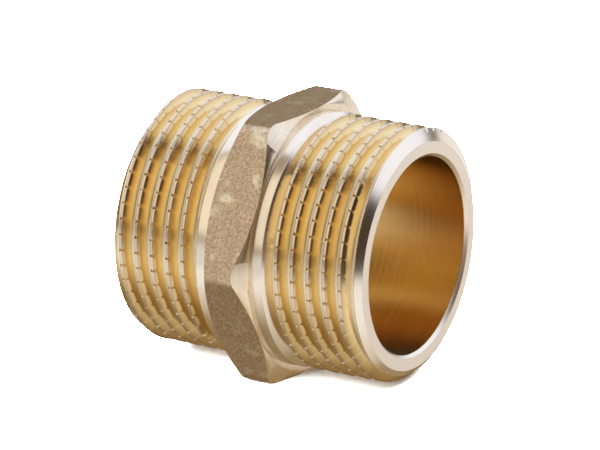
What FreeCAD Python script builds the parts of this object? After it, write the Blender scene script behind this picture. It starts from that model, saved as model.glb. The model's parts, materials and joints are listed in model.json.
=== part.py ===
"""Hex nipple: a short brass pipe fitting with the same external thread on both ends.

The fitting is one forged and turned piece. Its axis lies along X, a pair of hexagon flats
faces up and down, and the origin is on the axis in the middle of the hexagon.
All sizes are in millimetres and degrees, and the ones that drive the shape are in SIZES.
"""
import os

import FreeCAD
import Part
import Sketcher

SIZES = {
    # the whole fitting
    "length": 36.6,
    "bore_diameter": 25.8,
    "bore_chamfer": 0.42,
    # pipe thread G 1: 11 threads to the inch, 55 degree Whitworth form
    "crest_diameter": 33.249,
    "pitch": 2.309,
    "thread_depth": 1.479,
    "thread_angle": 55,
    "root_radius": 0.317,
    # where the middle of each groove starts: distance from the hexagon's middle along the axis,
    # and turn about the axis from +Y towards +Z
    "right_thread_start": 5.08,
    "right_thread_turn": 114,
    "left_thread_start": 5.62,
    "left_thread_turn": 240,
    # the end faces
    "end_face_diameter": 29.8,
    "end_chamfer": 0.9,
    # the hexagon
    "across_flats": 35,
    "hex_width": 6.5,
    "hex_corner_radius": 3,
    "hex_chamfer_angle": 30,
    # the turned ring on each side of the hexagon and the relief groove beyond it
    "ring_diameter": 33.4,
    "right_ring_end": 4.65,
    "left_ring_end": 5,
    "ring_side_angle": 60,
    "relief_diameter": 30.5,
    "relief_width": 1.25,
    # how far cutting profiles reach past the surface they cut
    "clearance": 0.3,
}

# how sizes are written in the sketches' expressions
HALF_LENGTH = "Sizes.length / 2"
HALF_HEX = "Sizes.hex_width / 2"
CREST = "Sizes.crest_diameter / 2"
ROOT = "(Sizes.crest_diameter / 2 - Sizes.thread_depth)"
BORE = "Sizes.bore_diameter / 2"

ORIGIN_POINT = (-1, 1)
START, END, CENTRE = 1, 2, 3


def make_sheet(doc):
    """Put the driving sizes in a spreadsheet, one row each, and name the cells."""
    sheet = doc.addObject("Spreadsheet::Sheet", "Sizes")
    for row, (name, value) in enumerate(SIZES.items(), start=1):
        sheet.set(f"A{row}", name)
        sheet.set(f"B{row}", str(value))
        sheet.setAlias(f"B{row}", name)
    doc.recompute()
    return sheet


def value_of(sheet, expression):
    """Work out an expression of sheet cells as a plain number."""
    result = sheet.evalExpression(expression)
    return float(getattr(result, "Value", result))


def new_sketch(body, name, plane):
    """Add a sketch on one of the body's own origin planes."""
    sketch = body.newObject("Sketcher::SketchObject", name)
    plane_object = next(f for f in body.Origin.OriginFeatures if f.Role == plane)
    sketch.AttachmentSupport = [(plane_object, "")]
    sketch.MapMode = "FlatFace"
    return sketch


def bind(sketch, kind, geometry, expression, sheet):
    """Add one dimension to a sketch and tie it to the sheet."""
    index = sketch.addConstraint(Sketcher.Constraint(kind, *geometry, value_of(sheet, expression)))
    sketch.setExpression(f"Constraints[{index}]", expression)


def pin_point(sketch, point, along, radial, sheet):
    """Hold a point at a signed distance along the axis and a distance out from it."""
    for kind, expression in (("DistanceX", along), ("DistanceY", radial)):
        if expression == "0":
            line = -2 if kind == "DistanceX" else -1
            sketch.addConstraint(Sketcher.Constraint("PointOnObject", *point, line))
        elif expression.startswith("-"):
            bind(sketch, kind, (*point, *ORIGIN_POINT), expression[1:], sheet)
        else:
            bind(sketch, kind, (*ORIGIN_POINT, *point), expression, sheet)


def signed(sheet, expression):
    """The number that a possibly negative expression stands for."""
    if expression.startswith("-"):
        return -value_of(sheet, expression[1:])
    return value_of(sheet, expression)


def outline(sketch, corners, sheet):
    """Draw a closed outline of straight lines through (along, radial) corners."""
    points = [FreeCAD.Vector(signed(sheet, x), signed(sheet, r), 0) for x, r in corners]
    first = sketch.GeometryCount
    count = len(points)
    for i in range(count):
        sketch.addGeometry(Part.LineSegment(points[i], points[(i + 1) % count]), False)
    for i, (along, radial) in enumerate(corners):
        after = first + (i + 1) % count
        sketch.addConstraint(Sketcher.Constraint("Coincident", first + i, END, after, START))
        pin_point(sketch, (first + i, START), along, radial, sheet)


def revolve(body, name, kind, sketch):
    """Turn a sketch a full turn about the fitting's axis, to add or to cut."""
    feature = body.newObject(f"PartDesign::{kind}", name)
    feature.Profile = sketch
    feature.ReferenceAxis = (sketch, ["H_Axis"])
    feature.Angle = 360
    body.Document.recompute()
    return feature


def add_hexagon(body, sheet):
    """The forged hexagon, flats up and down, with softened corners."""
    sketch = new_sketch(body, "HexOutline", "YZ_Plane")
    corner = value_of(sheet, "Sizes.across_flats / 2 / cos(30)")
    turn = FreeCAD.Rotation(FreeCAD.Vector(0, 0, 1), 60)
    points = [FreeCAD.Vector(corner, 0, 0)]
    for _ in range(5):
        points.append(turn.multVec(points[-1]))
    for i in range(6):
        sketch.addGeometry(Part.LineSegment(points[i], points[(i + 1) % 6]), False)
    circle = sketch.addGeometry(Part.Circle(FreeCAD.Vector(), FreeCAD.Vector(0, 0, 1), corner), True)
    sketch.addConstraint(Sketcher.Constraint("Coincident", circle, CENTRE, *ORIGIN_POINT))
    for i in range(6):
        sketch.addConstraint(Sketcher.Constraint("Coincident", i, END, (i + 1) % 6, START))
        sketch.addConstraint(Sketcher.Constraint("PointOnObject", i, START, circle))
    for i in range(1, 6):
        sketch.addConstraint(Sketcher.Constraint("Equal", 0, i))
    sketch.addConstraint(Sketcher.Constraint("Horizontal", 1))
    bind(sketch, "DistanceY", (*ORIGIN_POINT, 1, START), "Sizes.across_flats / 2", sheet)

    pad = body.newObject("PartDesign::Pad", "HexPad")
    pad.Profile = sketch
    pad.Midplane = True
    pad.setExpression("Length", "Sizes.hex_width")
    body.Document.recompute()

    fillet = body.newObject("PartDesign::Fillet", "HexCorners")
    along_axis = [
        f"Edge{i}"
        for i, edge in enumerate(pad.Shape.Edges, start=1)
        if abs(edge.tangentAt(edge.FirstParameter).x) > 0.99
    ]
    fillet.Base = (pad, along_axis)
    fillet.setExpression("Radius", "Sizes.hex_corner_radius")
    body.Document.recompute()


def chamfer_hexagon(body, sheet):
    """Turn both faces of the hexagon to a cone that starts at the circle inside the flats."""
    sketch = new_sketch(body, "HexChamferOutline", "XY_Plane")
    inner = "Sizes.across_flats / 2"
    outer = "(Sizes.across_flats / 2 / cos(30) + Sizes.clearance)"
    back = f"(Sizes.hex_width / 2 - ({outer} - {inner}) * tan(Sizes.hex_chamfer_angle))"
    for sign in ("", "-"):
        face = f"{sign}{HALF_HEX}"
        outline(sketch, [(face, inner), (face, outer), (f"{sign}{back}", outer)], sheet)
    revolve(body, "HexChamfers", "Groove", sketch)


def add_shank(body, sheet):
    """The two plain ends before threading, with their end chamfers and relief grooves."""
    relief = "Sizes.relief_diameter / 2"
    shoulder = f"({HALF_LENGTH} - Sizes.end_chamfer)"
    right_wall = "(Sizes.right_ring_end + Sizes.relief_width)"
    left_wall = "(Sizes.left_ring_end + Sizes.relief_width)"
    corners = [
        (f"-{HALF_LENGTH}", "0"),
        (f"-{HALF_LENGTH}", "Sizes.end_face_diameter / 2"),
        (f"-{shoulder}", CREST),
        (f"-{left_wall}", CREST),
        (f"-{left_wall}", relief),
        (right_wall, relief),
        (right_wall, CREST),
        (shoulder, CREST),
        (HALF_LENGTH, "Sizes.end_face_diameter / 2"),
        (HALF_LENGTH, "0"),
    ]
    sketch = new_sketch(body, "ShankOutline", "XY_Plane")
    outline(sketch, corners, sheet)
    revolve(body, "Shank", "Revolution", sketch)


def cut_thread(body, side, sheet):
    """Cut one right-hand thread, from its start near the hexagon out past the end face."""
    sign = "" if side == "right" else "-"
    start = f"Sizes.{side}_thread_start"
    turn = f"Sizes.{side}_thread_turn"
    flank_slope = "90 - Sizes.thread_angle / 2"
    top = f"({CREST} + Sizes.clearance)"
    root_centre = f"({ROOT} + Sizes.root_radius)"

    sketch = new_sketch(body, f"{side.capitalize()}ThreadOutline", "XY_Plane")
    axis = FreeCAD.Vector(1, 0, 0)
    rotation = FreeCAD.Rotation(axis, value_of(sheet, turn))
    sketch.AttachmentOffset = FreeCAD.Placement(FreeCAD.Vector(), rotation)
    sketch.setExpression("AttachmentOffset.Rotation.Angle", turn)

    # a V groove with a rounded root: left flank, root arc, right flank, closing line
    middle = signed(sheet, sign + start)
    centre = FreeCAD.Vector(middle, value_of(sheet, root_centre), 0)
    radius = value_of(sheet, "Sizes.root_radius")
    side_way = value_of(sheet, "sin(Sizes.thread_angle / 2)")
    up_way = value_of(sheet, "cos(Sizes.thread_angle / 2)")
    touch_x = radius * up_way
    touch_y = centre.y - radius * side_way
    rise = value_of(sheet, top) - touch_y
    spread = touch_x + rise * side_way / up_way
    top_left = FreeCAD.Vector(middle - spread, touch_y + rise, 0)
    top_right = FreeCAD.Vector(middle + spread, touch_y + rise, 0)
    root_left = FreeCAD.Vector(middle - touch_x, touch_y, 0)
    root_right = FreeCAD.Vector(middle + touch_x, touch_y, 0)
    root_bottom = FreeCAD.Vector(middle, centre.y - radius, 0)
    left_flank = sketch.addGeometry(Part.LineSegment(top_left, root_left), False)
    root_arc = sketch.addGeometry(Part.Arc(root_left, root_bottom, root_right), False)
    right_flank = sketch.addGeometry(Part.LineSegment(root_right, top_right), False)
    closing = sketch.addGeometry(Part.LineSegment(top_right, top_left), False)
    sketch.addConstraint(Sketcher.Constraint("Tangent", left_flank, END, root_arc, START))
    sketch.addConstraint(Sketcher.Constraint("Tangent", root_arc, END, right_flank, START))
    sketch.addConstraint(Sketcher.Constraint("Coincident", right_flank, END, closing, START))
    sketch.addConstraint(Sketcher.Constraint("Coincident", closing, END, left_flank, START))
    sketch.addConstraint(Sketcher.Constraint("Horizontal", closing))
    bind(sketch, "Radius", (root_arc,), "Sizes.root_radius", sheet)
    bind(sketch, "Angle", (right_flank,), flank_slope, sheet)
    bind(sketch, "Angle", (left_flank,), f"-({flank_slope})", sheet)
    bind(sketch, "DistanceY", (*ORIGIN_POINT, closing, START), top, sheet)
    pin_point(sketch, (root_arc, CENTRE), sign + start, root_centre, sheet)

    helix = body.newObject("PartDesign::SubtractiveHelix", f"{side.capitalize()}Thread")
    helix.Profile = sketch
    helix.ReferenceAxis = (sketch, ["H_Axis"])
    helix.Mode = "pitch-height-angle"
    helix.HasBeenEdited = True
    helix.setExpression("Pitch", "Sizes.pitch")
    helix.setExpression("Height", f"{HALF_LENGTH} - {start} + Sizes.pitch")
    helix.Reversed = side == "left"
    helix.LeftHanded = False
    body.Document.recompute()


def add_rings(body, sheet):
    """The bright turned ring against each face of the hexagon, sloping down to the relief."""
    ring = "Sizes.ring_diameter / 2"
    relief = "Sizes.relief_diameter / 2"
    run = f"({ring} - {relief}) / tan(Sizes.ring_side_angle)"
    right_foot = f"(Sizes.right_ring_end + {run})"
    left_foot = f"(Sizes.left_ring_end + {run})"
    corners = [
        (f"-{left_foot}", "0"),
        (f"-{left_foot}", relief),
        ("-Sizes.left_ring_end", ring),
        ("Sizes.right_ring_end", ring),
        (right_foot, relief),
        (right_foot, "0"),
    ]
    sketch = new_sketch(body, "RingOutline", "XY_Plane")
    outline(sketch, corners, sheet)
    revolve(body, "Rings", "Revolution", sketch)


def cut_bore(body, sheet):
    """The through bore, with a small chamfer at each end."""
    mouth = f"({BORE} + Sizes.bore_chamfer + Sizes.clearance)"
    outside = f"({HALF_LENGTH} + Sizes.clearance)"
    neck = f"({HALF_LENGTH} - Sizes.bore_chamfer)"
    corners = [
        (f"-{outside}", "0"),
        (f"-{outside}", mouth),
        (f"-{neck}", BORE),
        (neck, BORE),
        (outside, mouth),
        (outside, "0"),
    ]
    sketch = new_sketch(body, "BoreOutline", "XY_Plane")
    outline(sketch, corners, sheet)
    revolve(body, "Bore", "Groove", sketch)


def make_nipple_body(doc, sheet):
    """The one piece of the fitting, made in the order it is machined."""
    body = doc.addObject("PartDesign::Body", "NippleBody")
    body.Label = "nipple_body"
    add_hexagon(body, sheet)
    chamfer_hexagon(body, sheet)
    add_shank(body, sheet)
    cut_thread(body, "right", sheet)
    cut_thread(body, "left", sheet)
    add_rings(body, sheet)
    cut_bore(body, sheet)
    body.Placement = FreeCAD.Placement()
    return body


def check(doc, bodies):
    """Stop if any object failed to compute, or a piece is not one valid solid."""
    for item in doc.Objects:
        if {"Invalid", "Error"} & set(item.State):
            raise RuntimeError(f"{item.Name} did not compute: {item.State}")
    for body in bodies:
        shape = body.Shape
        if shape.isNull() or not shape.isValid() or len(shape.Solids) != 1:
            raise RuntimeError(f"{body.Label} is not one valid solid")


def main():
    doc = FreeCAD.newDocument("HexNipple")
    sheet = make_sheet(doc)
    bodies = [make_nipple_body(doc, sheet)]
    doc.recompute()
    check(doc, bodies)
    os.makedirs("parts", exist_ok=True)
    for body in bodies:
        body.Shape.exportStep(f"parts/{body.Label}.step")
        box = body.Shape.optimalBoundingBox()
        print(f"{body.Label}: {box.XLength:.2f} x {box.YLength:.2f} x {box.ZLength:.2f} mm,"
              f" {body.Shape.Volume:.0f} mm3")


main()
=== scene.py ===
"""Looks of a brass hex nipple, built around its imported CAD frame.

The fitting is one closed mesh that stands for its one CAD solid. Every row of the mesh lies in
a half plane that starts at the fitting's axis, and every column runs round the fitting. Columns
of the threads climb with the helix. Lengths are in millimetres until the mesh is made.
"""
import json
import math

import bmesh
import bpy
import numpy as np
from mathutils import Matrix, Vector, noise


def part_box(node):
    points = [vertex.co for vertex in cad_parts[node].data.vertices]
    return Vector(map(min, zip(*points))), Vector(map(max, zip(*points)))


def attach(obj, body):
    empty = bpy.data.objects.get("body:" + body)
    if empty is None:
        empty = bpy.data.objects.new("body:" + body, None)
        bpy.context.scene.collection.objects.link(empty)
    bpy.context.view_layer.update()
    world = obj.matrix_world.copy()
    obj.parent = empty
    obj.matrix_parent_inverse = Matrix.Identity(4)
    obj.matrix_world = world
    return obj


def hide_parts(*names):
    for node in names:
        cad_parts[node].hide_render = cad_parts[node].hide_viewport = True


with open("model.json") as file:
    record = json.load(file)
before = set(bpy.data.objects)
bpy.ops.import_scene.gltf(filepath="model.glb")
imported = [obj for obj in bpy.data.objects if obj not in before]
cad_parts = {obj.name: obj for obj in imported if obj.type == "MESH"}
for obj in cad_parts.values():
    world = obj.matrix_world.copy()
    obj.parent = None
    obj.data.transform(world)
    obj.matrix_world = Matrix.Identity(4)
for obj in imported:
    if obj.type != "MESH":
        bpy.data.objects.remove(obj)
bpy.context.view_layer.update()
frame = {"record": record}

# millimetres in a metre
METRE = 1000.0
SEED = 7
mounts = {m["name"]: m for m in frame["record"]["mounts"]}
node_low, node_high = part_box("nipple_body")

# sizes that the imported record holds
HALF_LENGTH = node_high.x * METRE
HALF_FLATS = node_high.z * METRE
CREST = mounts["right_thread"]["dims"]["r_mm"]
BORE = mounts["bore"]["dims"]["r_mm"]
BORE_CHAMFER = HALF_LENGTH - mounts["bore"]["dims"]["length_mm"] / 2

# thread G 1, and where the middle of its groove passes: place along the axis at an angle
PITCH = 2.309
ROOT = CREST - 1.479
ROOT_RADIUS = 0.317
CREST_RADIUS = 0.11
FLANK = math.radians(90 - 55 / 2)
GROOVE_AT = {"right": (5.08, math.radians(114)), "left": (-5.62, math.radians(240))}

# end faces, hexagon, rings and relief grooves
END_FACE = 14.9
END_CHAMFER = 0.9
HALF_HEX = 3.25
HEX_CORNER = 3.0
HEX_CHAMFER = math.radians(30)
RING = 16.7
RING_END = {"right": 4.65, "left": 5.0}
RING_SIDE = math.radians(60)
RELIEF = 15.25
RELIEF_WIDTH = 1.25
RELIEF_WALL = math.radians(80)

# how far from an edge its rounding starts
BORE_EDGE = 0.06
MOUTH_EDGE = 0.05
RELIEF_EDGE = 0.09
RING_EDGE = 0.06
RING_FOOT = 0.05
HEX_SIDE_EDGE = 0.03
HEX_RIM_EDGE = 0.02

# a bend of more than this stays sharp
SHARP = math.radians(33)

# narrow bands beside the edges that keep the wide faces flat
END_BAND = 0.05
BORE_BAND = 0.1
RELIEF_BAND = 0.1
HEX_BAND = 0.25

# the rough flats of the hexagon: columns across them, how far they are sunk, how far the noise
# moves on from column to column, and the height and the fineness of each noise
FORGED_SPANS = 14
FORGED_SINK = 0.03
FORGED_STEP = 0.47
WAVES = ((0.035, 0.45), (0.022, 1.9))

# notches that the threading tool leaves across the crests
NOTCHES = 50
NOTCH_HALF_WIDTH = 0.19
NOTCH_DEPTH = 0.17
NOTCH_VARIES = (0.6, 1.3)
CREST_BAND = 0.08
PLAIN_ROWS = 6

# how finely the bore and the ends of the grooves are worked out, and how close to a column such
# an end may lie before the column gives way to it
BORE_SPANS = 10
TRACE_STEP = 0.01
SNAP = 0.09

# kinds of point on a row of the thread, where 0 is a plain one: the mesh's edges follow a kind
# from row to row
GROOVE_BEGINS, GROOVE_ENDS, SHOULDER, RELIEF_CORNER, LOW_END, HIGH_END = 1, 2, 3, 4, -1, -2

# the camera: degrees round from the front and up, metres away, lens, slide across and up
AZIMUTH = 30
ELEVATION = 18.4
DISTANCE = 0.6224
LENS = 288
SLIDE = (0.00058, 0.00113)


def row_angles():
    """Angles of the rows, from +Y towards +Z: three rows for each notch and plain ones between."""
    period = 2 * math.pi / NOTCHES
    half = NOTCH_HALF_WIDTH / CREST
    gap = (period - 2 * half) / (PLAIN_ROWS + 1)
    offsets = [-half, 0] + [half + gap * i for i in range(PLAIN_ROWS + 1)]
    starts = np.arange(NOTCHES) * period
    return (starts[:, None] + np.array(offsets)[None, :]).ravel() + half


ANGLES = row_angles()
ROWS = len(ANGLES)
ROWS_PER_NOTCH = PLAIN_ROWS + 3
rng = np.random.default_rng(SEED)


class Skin:
    """Points and faces of the surface, with the name of a finish for every face."""

    def __init__(self):
        self.points = []
        self.count = 0
        self.faces = []
        self.finishes = []

    def add_points(self, x, r, angle):
        """Points at places along the axis, distances from it and angles. Returns their numbers."""
        x, r, angle = np.broadcast_arrays(x, r, angle)
        where = np.stack([x, r * np.cos(angle), r * np.sin(angle)], -1).reshape(-1, 3)
        first = self.count
        self.points.append(where)
        self.count += len(where)
        return np.arange(first, self.count).reshape(x.shape)

    def add_column(self, x, r):
        return self.add_points(np.broadcast_to(x, ROWS), np.broadcast_to(r, ROWS), ANGLES)

    def add_face(self, corners, finish):
        """One face, with its repeated corners left out, unless too few are left."""
        kept = []
        for corner in corners:
            if corner not in kept:
                kept.append(int(corner))
        if len(kept) > 2:
            self.faces.append(kept)
            self.finishes.append(finish)

    def join(self, before, after, finish):
        """Quads between two columns that each have one point on every row."""
        for i in range(ROWS):
            nxt = (i + 1) % ROWS
            self.add_face((before[i], after[i], after[nxt], before[nxt]), finish)

    def loft(self, column, outline, finish):
        """Carry the surface on from a column through (x, r) places. Returns the last column."""
        for x, r in outline:
            after = self.add_column(x, r)
            self.join(column, after, finish)
            column = after
        return column


def place(x, r):
    """A place on every row's half plane, as an array of two lines."""
    return np.array([np.broadcast_to(x, ROWS), np.broadcast_to(r, ROWS)], float)


def towards(corner, other, reach):
    """A place on the way from a corner to another place, a bit less than halfway at most."""
    way = other - corner
    length = np.maximum(np.linalg.norm(way, axis=0), 1e-6)
    return corner + way * np.minimum(reach / length, 0.45)


def rounded(before, corner, after, reach, steps):
    """Places on a curve that rounds off a corner, starting and ending at reach from it."""
    start = towards(corner, before, reach)
    end = towards(corner, after, reach)
    for i in range(steps + 1):
        t = i / steps
        yield start * (1 - t) ** 2 + corner * 2 * t * (1 - t) + end * t ** 2


def groove_half_width():
    """From a groove's middle to where its flank would meet a crest with sharp edges."""
    touch = ROOT_RADIUS * math.sin(FLANK)
    touch_radius = ROOT + ROOT_RADIUS * (1 - math.cos(FLANK))
    return touch + (CREST - touch_radius) / math.tan(FLANK)


CREST_STARTS = groove_half_width() + CREST_RADIUS * math.tan(FLANK / 2)


def thread_radius(offset):
    """Distance of the thread from the axis, by the place along the axis from a groove's middle."""
    away = np.abs((offset + PITCH / 2) % PITCH - PITCH / 2)
    touch = ROOT_RADIUS * math.sin(FLANK)
    bottom = ROOT_RADIUS ** 2 - np.minimum(away, touch) ** 2
    groove = ROOT + ROOT_RADIUS - np.sqrt(bottom) + np.maximum(away - touch, 0) * math.tan(FLANK)
    edge = CREST_RADIUS * math.sin(FLANK)
    before_crest = CREST_STARTS - away
    top = CREST_RADIUS ** 2 - np.clip(before_crest, 0, edge) ** 2
    crest = CREST - CREST_RADIUS + np.sqrt(top)
    return np.where(before_crest < edge, crest, groove)


def column_offsets():
    """Places of the thread's columns across one pitch, from one groove's middle."""
    one_side = [ROOT_RADIUS * math.sin(FLANK * k / 3) for k in range(4)]
    one_side += [CREST_STARTS - CREST_RADIUS * math.sin(FLANK * k / 2) for k in (2, 1, 0)]
    other_side = [PITCH - x for x in reversed(one_side[1:])]
    return np.array(one_side + other_side)


def crossings(x, gap):
    """Where the groove's surface dives under the uncut shape or comes out, as (place, kind)."""
    gap = np.where(np.abs(gap) < 1e-9, -1e-9, gap)
    found = np.nonzero(np.sign(gap[:-1]) * np.sign(gap[1:]) < 0)[0]
    for k in found:
        share = gap[k] / (gap[k] - gap[k + 1])
        yield x[k] + share * (x[k + 1] - x[k]), GROOVE_BEGINS if gap[k] > 0 else GROOVE_ENDS


def relief_start(side):
    """Where the plain floor of a relief groove starts, as a distance from the hexagon's middle."""
    return RING_END[side] + (RING - RELIEF) / math.tan(RING_SIDE)


class Thread:
    """The thread of one end: where its points lie on each row, and which faces join them."""

    def __init__(self, side):
        self.side = side
        self.sign = 1 if side == "right" else -1
        inner = relief_start(side) + RELIEF_BAND
        self.low, self.high = sorted((self.sign * inner, self.sign * HALF_LENGTH))
        groove_x, groove_angle = GROOVE_AT[side]
        self.base = groove_x - PITCH * groove_angle / (2 * math.pi)
        offsets = column_offsets()
        self.per_pitch = len(offsets)
        first = math.floor((self.low - self.base) / PITCH) - 1
        last = math.ceil((self.high - self.base) / PITCH)
        pitches = np.arange(first, last + 1)[:, None] * PITCH
        self.columns = (pitches + offsets[None, :]).ravel() + self.base
        self.trace = np.arange(self.low, self.high, TRACE_STEP)
        self.depths = NOTCH_DEPTH * rng.uniform(*NOTCH_VARIES, (NOTCHES, len(self.columns)))
        # the columns of the crest: its two edges and the middle of their roundings
        middle = self.per_pitch / 2
        in_pitch = np.arange(len(self.columns)) % self.per_pitch
        self.on_crest = np.abs(in_pitch - middle) < 2
        self.numbers = np.zeros((ROWS + 1, len(self.columns)), int)
        self.kinds = np.zeros((ROWS + 1, len(self.columns)), int)

    def uncut(self, x):
        """The shape that the groove is cut into: relief groove, crest cylinder, end chamfer."""
        along = self.sign * x
        wall = RING_END[self.side] + RELIEF_WIDTH
        relief = RELIEF + np.maximum(along - wall, 0) * math.tan(RELIEF_WALL)
        slope = (CREST - END_FACE) / END_CHAMFER
        return np.minimum(np.minimum(relief, END_FACE + (HALF_LENGTH - along) * slope), CREST)

    def cut(self, x, angle):
        """Distance of the groove's surface from the axis, as if it ran on for ever."""
        return thread_radius(x - self.base - PITCH * angle / (2 * math.pi))

    def edges_on(self, angle):
        """Every place at an angle where the outline bends and a point has to be."""
        yield from crossings(self.trace, self.cut(self.trace, angle) - self.uncut(self.trace))
        yield self.sign * (HALF_LENGTH - END_CHAMFER), SHOULDER
        yield self.sign * (RING_END[self.side] + RELIEF_WIDTH), RELIEF_CORNER

    def row(self, i):
        """Places along the axis, distances from it and kinds of the points on row i."""
        angle = ANGLES[i % ROWS] + (2 * math.pi if i == ROWS else 0)
        x = self.columns + PITCH * angle / (2 * math.pi)
        kinds = np.zeros(len(x), int)
        for spot, kind in self.edges_on(angle):
            j = int(np.argmin(np.abs(x - spot)))
            if kinds[j] == 0 and self.low + SNAP < spot < self.high - SNAP:
                x[j] = spot
                kinds[j] = kind
        r = np.minimum(self.cut(x, angle), self.uncut(x))
        if i % ROWS_PER_NOTCH == 1:
            notched = self.on_crest & (r > CREST - CREST_BAND)
            r = np.where(notched, r - self.depths[i // ROWS_PER_NOTCH], r)
        kinds[x <= self.low + SNAP] = LOW_END
        kinds[x >= self.high - SNAP] = HIGH_END
        return angle, x, r, kinds

    def add_points(self, skin, low_column, high_column):
        for i in range(ROWS + 1):
            angle, x, r, kinds = self.row(i)
            self.kinds[i] = kinds
            if i < ROWS:
                inside = (kinds != LOW_END) & (kinds != HIGH_END)
                self.numbers[i, inside] = skin.add_points(x[inside], r[inside], angle)
            else:
                # one turn on, every point is the first row's point one pitch further
                self.numbers[i, :-self.per_pitch] = self.numbers[0, self.per_pitch:]
            self.numbers[i, kinds == LOW_END] = low_column[i % ROWS]
            self.numbers[i, kinds == HIGH_END] = high_column[i % ROWS]

    def add_faces(self, skin):
        """Faces between the rows, divided where an edge runs from one column to the next."""
        numbers, kinds = self.numbers, self.kinds
        for i in range(ROWS):
            for j in range(len(self.columns) - 1):
                a, b = numbers[i, j], numbers[i, j + 1]
                d, c = numbers[i + 1, j], numbers[i + 1, j + 1]
                if a == b and c == d:
                    continue
                if kinds[i, j + 1] and kinds[i, j + 1] == kinds[i + 1, j]:
                    skin.add_face((a, d, b), "thread")
                    skin.add_face((b, d, c), "thread")
                elif kinds[i, j] and kinds[i, j] == kinds[i + 1, j + 1]:
                    skin.add_face((a, c, b), "thread")
                    skin.add_face((a, d, c), "thread")
                else:
                    skin.add_face((a, d, c, b), "thread")


def add_thread(skin, side, near_column, end_column):
    """Thread from its column in the relief groove to its column at the end face."""
    thread = Thread(side)
    if side == "right":
        thread.add_points(skin, near_column, end_column)
    else:
        thread.add_points(skin, end_column, near_column)
    thread.add_faces(skin)


def hexagon_radius():
    """Distance of the hexagon's outline from the axis on every row, corners rounded."""
    sixth = math.pi / 3
    from_flat = np.abs((ANGLES - math.pi / 2 + sixth / 2) % sixth - sixth / 2)
    middle = (HALF_FLATS - HEX_CORNER) / math.cos(sixth / 2)
    from_corner = sixth / 2 - from_flat
    reach = math.atan2(HEX_CORNER * math.sin(sixth / 2), middle + HEX_CORNER * math.cos(sixth / 2))
    root = np.sqrt(np.maximum(HEX_CORNER ** 2 - (middle * np.sin(from_corner)) ** 2, 0))
    arc = middle * np.cos(from_corner) + root
    return np.where(from_corner < reach, arc, HALF_FLATS / np.cos(from_flat))


def forged_height(x, r):
    """Small unevenness of the forged flats, for every row of one column."""
    heights = []
    for angle, radius in zip(ANGLES, np.broadcast_to(r, ROWS)):
        spot = Vector((x, radius * math.cos(angle), radius * math.sin(angle)))
        heights.append(sum(height * noise.noise(spot * fineness) for height, fineness in WAVES))
    return np.array(heights)


def end_outline(sign):
    """From the bore's mouth over the end face to the start of the end chamfer."""
    neck = place(sign * (HALF_LENGTH - BORE_CHAMFER), BORE)
    mouth = place(sign * HALF_LENGTH, BORE + BORE_CHAMFER)
    rim = place(sign * HALF_LENGTH, END_FACE)
    return neck, mouth, rim


def ring_outline(side):
    """From the relief groove over the ring to the hexagon's side, on one side."""
    sign = 1 if side == "right" else -1
    foot = place(sign * relief_start(side), RELIEF)
    edge = place(sign * RING_END[side], RING)
    inner = place(sign * HALF_HEX, RING)
    face = place(sign * HALF_HEX, HALF_FLATS)
    radius = hexagon_radius()
    back = sign * (HALF_HEX - (radius - HALF_FLATS) * math.tan(HEX_CHAMFER))
    rim = place(back, radius)
    past = place(back - sign, radius)
    return foot, edge, inner, face, rim, past


def add_right_end(skin):
    """From the bore over the right end face. Returns the column in the bore and the one at the rim."""
    neck, mouth, rim = end_outline(1)
    in_bore = skin.add_column(neck[0] - BORE_BAND, neck[1])
    column = skin.loft(in_bore, rounded(place(0, BORE), neck, mouth, BORE_EDGE, 2), "bore")
    column = skin.loft(column, rounded(neck, mouth, rim, MOUTH_EDGE, 2), "mouth")
    middle = (rim[0], (mouth[1] + rim[1]) / 2)
    near_rim = (rim[0], rim[1] - END_BAND)
    column = skin.loft(column, [middle, near_rim], "end")
    at_rim = skin.add_column(*rim)
    skin.join(column, at_rim, "end")
    return in_bore, at_rim


def add_right_side(skin, at_rim):
    """Right thread, relief groove, ring and side of the hexagon. Returns the last column."""
    foot, edge, inner, face, back, past = ring_outline("right")
    near = foot[0] + RELIEF_BAND
    in_relief = skin.add_column(near, RELIEF)
    add_thread(skin, "right", in_relief, at_rim)
    to_foot = rounded(place(near, RELIEF), foot, edge, RELIEF_EDGE, 2)
    column = skin.loft(in_relief, to_foot, "thread")
    column = skin.loft(column, rounded(foot, edge, inner, RING_EDGE, 2), "turned")
    column = skin.loft(column, rounded(edge, inner, face, RING_FOOT, 2), "turned")
    column = skin.loft(column, rounded(inner, face, back, HEX_SIDE_EDGE, 1), "side")
    return skin.loft(column, rounded(face, back, past, HEX_RIM_EDGE, 1), "side")


def add_rough_flats(skin, column):
    """The forged flats, from the hexagon's right rim to its left one. Returns the last column."""
    radius = hexagon_radius()
    start = ring_outline("right")[4][0] - HEX_BAND
    end = ring_outline("left")[4][0] + HEX_BAND
    for k in range(FORGED_SPANS + 1):
        x = start + (end - start) * k / FORGED_SPANS
        r = radius + forged_height(FORGED_STEP * k, radius) - FORGED_SINK
        after = skin.add_column(x, r)
        skin.join(column, after, "forged")
        column = after
    return column


def add_left_side(skin, column):
    """Left side of the hexagon, ring and relief groove. Returns the last column."""
    foot, edge, inner, face, back, past = ring_outline("left")
    column = skin.loft(column, rounded(past, back, face, HEX_RIM_EDGE, 1), "forged")
    column = skin.loft(column, rounded(back, face, inner, HEX_SIDE_EDGE, 1), "side")
    column = skin.loft(column, rounded(face, inner, edge, RING_FOOT, 2), "side")
    column = skin.loft(column, rounded(inner, edge, foot, RING_EDGE, 2), "turned")
    near = foot[0] - RELIEF_BAND
    from_foot = rounded(edge, foot, place(near, RELIEF), RELIEF_EDGE, 2)
    column = skin.loft(column, from_foot, "thread")
    in_relief = skin.add_column(near, RELIEF)
    skin.join(column, in_relief, "thread")
    return in_relief


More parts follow.
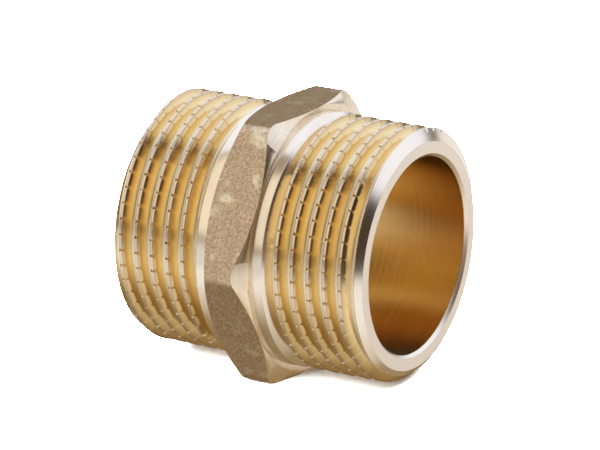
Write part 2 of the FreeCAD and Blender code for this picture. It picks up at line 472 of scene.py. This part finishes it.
def add_left_end(skin, in_relief):
    """Left thread, end face and the start of the bore. Returns the last column."""
    neck, mouth, rim = end_outline(-1)
    at_rim = skin.add_column(*rim)
    add_thread(skin, "left", in_relief, at_rim)
    middle = (rim[0], (mouth[1] + rim[1]) / 2)
    near_rim = (rim[0], rim[1] - END_BAND)
    column = skin.loft(at_rim, [near_rim, middle], "end")
    column = skin.loft(column, rounded(rim, mouth, neck, MOUTH_EDGE, 2), "mouth")
    return skin.loft(column, rounded(mouth, neck, place(0, BORE), BORE_EDGE, 2), "bore")


def build_skin():
    """The whole surface, round from the right end of the bore and back to where it began."""
    skin = Skin()
    in_bore, at_rim = add_right_end(skin)
    column = add_right_side(skin, at_rim)
    column = add_rough_flats(skin, column)
    in_relief = add_left_side(skin, column)
    column = add_left_end(skin, in_relief)
    reach = HALF_LENGTH - BORE_CHAMFER - BORE_BAND
    along = [-reach + 2 * reach * k / BORE_SPANS for k in range(BORE_SPANS)]
    column = skin.loft(column, [(x, BORE) for x in along], "bore")
    skin.join(column, in_bore, "bore")
    return skin


def mark_sharp(mesh, angle):
    """Keep an edge sharp where the surface bends by more than an angle or its finish changes."""
    shape = bmesh.new()
    shape.from_mesh(mesh)
    for edge in shape.edges:
        one, other = edge.link_faces
        same_finish = one.material_index == other.material_index
        edge.smooth = same_finish and edge.calc_face_angle() < angle
    shape.to_mesh(mesh)
    shape.free()


def make_mesh(skin, finishes):
    """The fitting as one object, with a material slot for every finish."""
    mesh = bpy.data.meshes.new("hex_nipple")
    points = np.concatenate(skin.points) / METRE
    mesh.from_pydata(points.tolist(), [], skin.faces)
    for material in finishes.values():
        mesh.materials.append(material)
    order = list(finishes)
    mesh.polygons.foreach_set("material_index", [order.index(f) for f in skin.finishes])
    mesh.polygons.foreach_set("use_smooth", [True] * len(mesh.polygons))
    mark_sharp(mesh, SHARP)
    nipple = bpy.data.objects.new("hex_nipple", mesh)
    bpy.context.collection.objects.link(nipple)
    # wide faces stay flat and the narrow ones at their edges take up the bend
    shading = nipple.modifiers.new("shading", "WEIGHTED_NORMAL")
    shading.keep_sharp = True
    shading.weight = 90
    return nipple


class Nodes:
    """A short way to write a node tree."""

    def __init__(self, tree):
        self.tree = tree

    def add(self, kind, **settings):
        """A new node with its own settings."""
        node = self.tree.nodes.new(kind)
        for key, value in settings.items():
            setattr(node, key, value)
        return node

    def feed(self, socket, value):
        """Link a socket to another one, or set it to a number or a colour."""
        if isinstance(value, bpy.types.NodeSocket):
            self.tree.links.new(value, socket)
        elif isinstance(value, tuple):
            socket.default_value = (*value, 1)
        else:
            socket.default_value = value

    def math(self, operation, a, b=0.0, c=0.0):
        node = self.add("ShaderNodeMath", operation=operation)
        for socket, value in zip(node.inputs, (a, b, c)):
            self.feed(socket, value)
        return node.outputs[0]

    def split(self, vector):
        node = self.add("ShaderNodeSeparateXYZ")
        self.feed(node.inputs[0], vector)
        return node.outputs[0], node.outputs[1], node.outputs[2]

    def step(self, value, low, high):
        """0 at low, 1 at high, level beyond them and smooth between them."""
        node = self.add("ShaderNodeMapRange", interpolation_type="SMOOTHSTEP")
        self.feed(node.inputs["Value"], value)
        node.inputs["From Min"].default_value = low
        node.inputs["From Max"].default_value = high
        return node.outputs["Result"]

    def mix(self, fac, a, b):
        node = self.add("ShaderNodeMix", data_type="RGBA")
        self.feed(node.inputs[0], fac)
        self.feed(node.inputs[6], a)
        self.feed(node.inputs[7], b)
        return node.outputs[2]


class Brass(Nodes):
    """One finish of the metal. Places and lengths in it are in millimetres."""

    def __init__(self, name):
        self.material = bpy.data.materials.new(name)
        self.material.use_nodes = True
        super().__init__(self.material.node_tree)
        self.shader = self.tree.nodes["Principled BSDF"]
        self.place = self.add("ShaderNodeTexCoord").outputs["Object"]
        self.x, self.y, self.z = self.split(self.scaled((1, 1, 1)))

    def scaled(self, scale):
        """The place on the object, times a scale for each axis."""
        node = self.add("ShaderNodeMapping")
        self.feed(node.inputs["Vector"], self.place)
        node.inputs["Scale"].default_value = [METRE * s for s in scale]
        return node.outputs["Vector"]

    def radius(self):
        """Distance from the fitting's axis."""
        z_squared = self.math("MULTIPLY", self.z, self.z)
        return self.math("SQRT", self.math("MULTIPLY_ADD", self.y, self.y, z_squared))

    def noise(self, scale, detail, rough, seed):
        """Noise with this many blobs to a millimetre, by axis."""
        node = self.add("ShaderNodeTexNoise", noise_dimensions="4D")
        self.feed(node.inputs["Vector"], self.scaled(scale))
        node.inputs["W"].default_value = seed
        node.inputs["Scale"].default_value = 1.0
        node.inputs["Detail"].default_value = detail
        node.inputs["Roughness"].default_value = rough
        return node.outputs["Fac"]

    def turning_marks(self, along, radial, seed):
        """Noise that is the same all round the fitting, by blobs to a millimetre."""
        node = self.add("ShaderNodeCombineXYZ")
        self.feed(node.inputs[0], self.math("MULTIPLY", self.x, along))
        self.feed(node.inputs[1], self.math("MULTIPLY", self.radius(), radial))
        node.inputs[2].default_value = seed
        texture = self.add("ShaderNodeTexNoise")
        self.feed(texture.inputs["Vector"], node.outputs[0])
        texture.inputs["Scale"].default_value = 1.0
        texture.inputs["Detail"].default_value = 2.0
        return texture.outputs["Fac"]

    def ramp(self, fac, *stops):
        """A colour or grey for a factor. Stops are (place, colour or grey)."""
        node = self.add("ShaderNodeValToRGB")
        self.feed(node.inputs[0], fac)
        elements = node.color_ramp.elements
        while len(elements) < len(stops):
            elements.new(0.5)
        for element, (spot, colour) in zip(elements, stops):
            element.position = spot
            red_green_blue = colour if isinstance(colour, tuple) else (colour,) * 3
            element.color = (*red_green_blue, 1)
        return node.outputs[0]

    def bump(self, height, deep, under=None):
        """A relief this deep in the surface, on top of another one if there is one."""
        node = self.add("ShaderNodeBump")
        node.inputs["Distance"].default_value = deep / METRE
        node.inputs["Strength"].default_value = 1.0
        self.feed(node.inputs["Height"], height)
        if under is not None:
            self.feed(node.inputs["Normal"], under)
        return node.outputs["Normal"]

    def finish(self, colour, roughness, normal):
        self.feed(self.shader.inputs["Base Color"], colour)
        self.feed(self.shader.inputs["Roughness"], roughness)
        self.feed(self.shader.inputs["Normal"], normal)
        self.shader.inputs["Metallic"].default_value = 1.0
        return self.material


# colours of the metal
PALE = (0.96, 0.89, 0.78)
TURNED = (0.90, 0.81, 0.68)
CREST_BRASS = (0.75, 0.63, 0.47)


def thread_brass():
    n = Brass("brass_thread")
    marks = n.turning_marks(9.0, 6.0, 0.0)
    stain = n.noise((0.5, 0.12, 0.12), 4.0, 0.6, 3.0)
    depth = n.math("SUBTRACT", n.radius(), ROOT)
    # painted shade by depth: paler at the root and browner towards the crest
    cut = n.ramp(
        n.math("DIVIDE", depth, CREST - ROOT),
        (0.0, (0.97, 0.90, 0.74)),
        (0.12, (0.95, 0.83, 0.56)),
        (0.45, (0.88, 0.69, 0.35)),
        (0.8, (0.72, 0.52, 0.24)),
        (0.97, (0.48, 0.33, 0.17)),
    )
    flank = n.mix(n.ramp(stain, (0.42, 0), (0.68, 0.5)), cut, (0.80, 0.60, 0.33))
    crest = n.step(n.radius(), CREST - CREST_BAND, CREST - 0.03)
    shoulder = HALF_LENGTH - END_CHAMFER
    chamfer = n.step(n.math("ABSOLUTE", n.x), shoulder - 0.05, shoulder + 0.05)
    # the flank colour carries the painted shade of the depth ramp
    colour = n.mix(chamfer, n.mix(crest, flank, CREST_BRASS), TURNED)
    # the root is left rougher than the flanks, but not the chamfer at the end
    at_root = n.math("SUBTRACT", n.ramp(depth, (0.05, 0.2), (0.5, 0)), chamfer)
    rough = n.math("ADD", n.ramp(marks, (0.3, 0.14), (0.7, 0.22)), n.math("MAXIMUM", at_root, 0))
    return n.finish(colour, rough, n.bump(marks, 0.0008))


def turned_brass():
    n = Brass("brass_turned")
    marks = n.turning_marks(14.0, 14.0, 5.0)
    stain = n.noise((0.6, 0.2, 0.2), 4.0, 0.6, 9.0)
    colour = n.mix(n.ramp(stain, (0.45, 0), (0.7, 1)), TURNED, (0.83, 0.72, 0.58))
    rough = n.ramp(marks, (0.3, 0.14), (0.7, 0.24))
    return n.finish(colour, rough, n.bump(marks, 0.001))


def side_brass():
    n = Brass("brass_hexagon_side")
    marks = n.turning_marks(14.0, 9.0, 7.0)
    stain = n.noise((0.8, 0.3, 0.3), 4.0, 0.6, 12.0)
    colour = n.mix(n.ramp(stain, (0.35, 0), (0.7, 1)), (0.92, 0.80, 0.62), (0.78, 0.62, 0.42))
    rough = n.ramp(marks, (0.3, 0.20), (0.7, 0.30))
    return n.finish(colour, rough, n.bump(marks, 0.004))


def end_brass():
    n = Brass("brass_end_face")
    marks = n.turning_marks(14.0, 16.0, 11.0)
    colour = n.ramp(marks, (0.3, PALE), (0.7, (0.91, 0.80, 0.66)))
    rough = n.ramp(marks, (0.3, 0.25), (0.7, 0.38))
    return n.finish(colour, rough, n.bump(marks, 0.008))


def bore_brass():
    n = Brass("brass_bore")
    marks = n.turning_marks(2.2, 0.0, 2.0)
    streak = n.noise((0.03, 0.22, 0.22), 1.0, 0.4, 4.0)
    # painted shade: pale along the bottom and darker towards the top
    height = n.math("MULTIPLY_ADD", n.z, 0.5 / BORE, 0.5)
    bore_shade = n.ramp(
        height,
        (0.15, (0.99, 0.93, 0.68)),
        (0.6, (0.73, 0.46, 0.15)),
        (0.95, (0.62, 0.32, 0.06)),
    )
    colour = n.mix(n.ramp(streak, (0.40, 0), (0.62, 0.5)), bore_shade, (0.80, 0.57, 0.27))
    rough = n.ramp(marks, (0.3, 0.20), (0.7, 0.26))
    return n.finish(colour, rough, n.bump(marks, 0.0001))


def forged_brass():
    n = Brass("brass_forged")
    sand = n.noise((3.2, 3.2, 3.2), 3.0, 0.7, 1.0)
    grit = n.noise((11.0, 11.0, 11.0), 2.0, 0.6, 2.0)
    worn = n.noise((0.35, 0.35, 0.35), 3.0, 0.55, 6.0)
    base = n.mix(n.ramp(sand, (0.35, 0), (0.65, 1)), (0.50, 0.375, 0.25), (0.92, 0.74, 0.53))
    polished = n.ramp(worn, (0.56, 0), (0.66, 1))
    colour = n.mix(polished, base, (0.99, 0.90, 0.72))
    # painted shade: the two level flats are much darker than the others, and the lower slanted ones
    # that face the table a little
    up = n.split(n.add("ShaderNodeNewGeometry").outputs["True Normal"])[2]
    level_flat_shade = n.step(n.math("ABSOLUTE", up), 0.85, 0.95)
    downward_flat_shade = n.step(n.math("MULTIPLY", up, -1.0), 0.2, 0.45)
    shade_colour = n.mix(n.ramp(sand, (0.35, 0), (0.65, 1)), (0.17, 0.10, 0.02), (0.31, 0.185, 0.05))
    painted_shade = n.math("MAXIMUM", n.math("MULTIPLY", level_flat_shade, 0.85), n.math("MULTIPLY", downward_flat_shade, 0.45))
    # mix the painted shade into the flats' colour
    colour = n.mix(painted_shade, colour, shade_colour)
    rough = n.ramp(worn, (0.45, 0.58), (0.72, 0.38))
    normal = n.bump(grit, 0.03, n.bump(sand, 0.14))
    return n.finish(colour, rough, normal)


def make_finishes():
    """The material of every finish. The bore's mouth is finished like the end face beside it."""
    end = end_brass()
    return {
        "thread": thread_brass(),
        "turned": turned_brass(),
        "end": end,
        "side": side_brass(),
        "mouth": end,
        "bore": bore_brass(),
        "forged": forged_brass(),
    }


def make_floor():
    """A plain pale floor under the hexagon's lowest flat."""
    mesh = bpy.data.meshes.new("floor")
    half = 20.0
    low = node_low.z
    corners = [(-half, -half, low), (half, -half, low), (half, half, low), (-half, half, low)]
    mesh.from_pydata(corners, [], [(0, 1, 2, 3)])
    floor = bpy.data.objects.new("floor", mesh)
    bpy.context.collection.objects.link(floor)
    paint = bpy.data.materials.new("pale_floor")
    paint.use_nodes = True
    shader = paint.node_tree.nodes["Principled BSDF"]
    shader.inputs["Base Color"].default_value = (0.85, 0.85, 0.85, 1)
    shader.inputs["Roughness"].default_value = 0.9
    shader.inputs["Specular IOR Level"].default_value = 0.1
    mesh.materials.append(paint)
    return floor


def make_floor_light():
    """A wide light above that whitens the floor. It isn't seen as a reflection in the brass."""
    light = bpy.data.lights.new("top_light", "AREA")
    light.size = 3.0
    light.energy = 1400
    lamp = bpy.data.objects.new("top_light", light)
    bpy.context.collection.objects.link(lamp)
    lamp.location = (-0.2, -0.2, 1.2)
    lamp.rotation_mode = "QUATERNION"
    lamp.rotation_quaternion = (-lamp.location).to_track_quat("-Z", "Y")
    lamp.visible_glossy = False
    lamp.visible_camera = False


def tinted(level, tint):
    return tuple(level * t for t in tint)


class Dome(Nodes):
    """The studio around the fitting: soft white and dark areas by compass angle and height."""

    def __init__(self, level, tint):
        self.world = bpy.data.worlds.new("studio")
        self.world.use_nodes = True
        super().__init__(self.world.node_tree)
        direction = self.add("ShaderNodeTexCoord").outputs["Generated"]
        x, y, z = self.split(direction)
        self.compass = self.math("ARCTAN2", y, x)
        self.height = self.math("ARCSINE", z)
        self.light = tinted(level, tint)

    def fade(self, distance, half, edge):
        """1 nearer than half, 0 further off, over a soft edge. Half and edge are in degrees."""
        node = self.add("ShaderNodeMapRange", interpolation_type="SMOOTHSTEP")
        self.feed(node.inputs["Value"], distance)
        node.inputs["From Min"].default_value = math.radians(half + edge / 2)
        node.inputs["From Max"].default_value = math.radians(half - edge / 2)
        return node.outputs["Result"]

    def area(self, compass, height, half_width, half_height, level, tint, edge, edge_high=None):
        """A panel around a compass angle (from +X towards +Y) and a height, in degrees.

        Its sides fade over edge, and its top and bottom over edge_high if that is given.
        """
        turn = self.math("SUBTRACT", self.compass, math.radians(compass))
        turn = self.math("ABSOLUTE", self.math("WRAP", turn, math.pi, -math.pi))
        rise = self.math("ABSOLUTE", self.math("SUBTRACT", self.height, math.radians(height)))
        across = self.fade(turn, half_width, edge)
        upright = self.fade(rise, half_height, edge_high or edge)
        share = self.math("MULTIPLY", across, upright)
        self.light = self.mix(share, self.light, tinted(level, tint))

    def hang(self):
        """Make this dome the scene's world."""
        self.feed(self.tree.nodes["Background"].inputs["Color"], self.light)
        bpy.context.scene.world = self.world


# tints of the studio's areas
COOL = (0.95, 1.0, 1.17)
PLAIN = (1.0, 0.98, 0.98)
CREAM = (1.0, 0.91, 0.76)
WARM = (1.0, 0.78, 0.55)
GOLDEN = (1.0, 0.74, 0.42)


def make_studio():
    """What the brass mirrors: walls, panels and a table, with dark gaps between them."""
    dome = Dome(0.065, (1.0, 0.66, 0.42))
    # the dim room on the camera's side
    dome.area(-53, 12, 41, 52, 0.26, WARM, 10)
    # a wall on the left with a bright panel on it
    dome.area(200, 34, 62, 44, 0.40, WARM, 10)
    dome.area(227, 34, 36, 30, 1.0, CREAM, 8, 6)
    # a panel overhead and the white wall behind
    dome.area(20, 70, 70, 28, 1.00, COOL, 20, 6)
    dome.area(101, 50, 82, 42, 1.10, COOL, 2, 4)
    # the white table, creamier close to the fitting
    dome.area(0, -90, 180, 76, 1.02, PLAIN, 3)
    dome.area(0, -90, 180, 52, 0.76, CREAM, 18)
    # the table's far edge, at the left and behind
    dome.area(245, -12, 65, 9, 0.80, PLAIN, 5)
    dome.area(105, -6, 65, 9, 0.95, PLAIN, 3)
    # the fitting's own shade on the table
    dome.area(118, -49, 76, 27, 0.38, GOLDEN, 16)
    dome.area(126, -40, 42, 20, 0.26, GOLDEN, 14)
    dome.area(0, -90, 180, 36, 0.32, GOLDEN, 30)
    dome.hang()


def make_camera():
    """A camera that looks at the middle of the fitting, slid sideways and up for the framing."""
    turn, rise = math.radians(AZIMUTH), math.radians(ELEVATION)
    back = Vector((math.sin(turn) * math.cos(rise), -math.cos(turn) * math.cos(rise), math.sin(rise)))
    right = Vector((math.cos(turn), math.sin(turn), 0))
    up = back.cross(right)
    camera = bpy.data.objects.new("camera", bpy.data.cameras.new("camera"))
    bpy.context.collection.objects.link(camera)
    camera.data.lens = LENS
    camera.data.clip_start = 0.05
    camera.location = back * DISTANCE + right * SLIDE[0] + up * SLIDE[1]
    camera.rotation_mode = "QUATERNION"
    camera.rotation_quaternion = (-back).to_track_quat("-Z", "Y")
    bpy.context.scene.camera = camera


nipple = make_mesh(build_skin(), make_finishes())
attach(nipple, "root")
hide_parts("nipple_body")

floor = make_floor()
floor.visible_glossy = False
make_studio()
make_floor_light()
make_camera()
bpy.context.scene.view_settings.view_transform = "Standard"
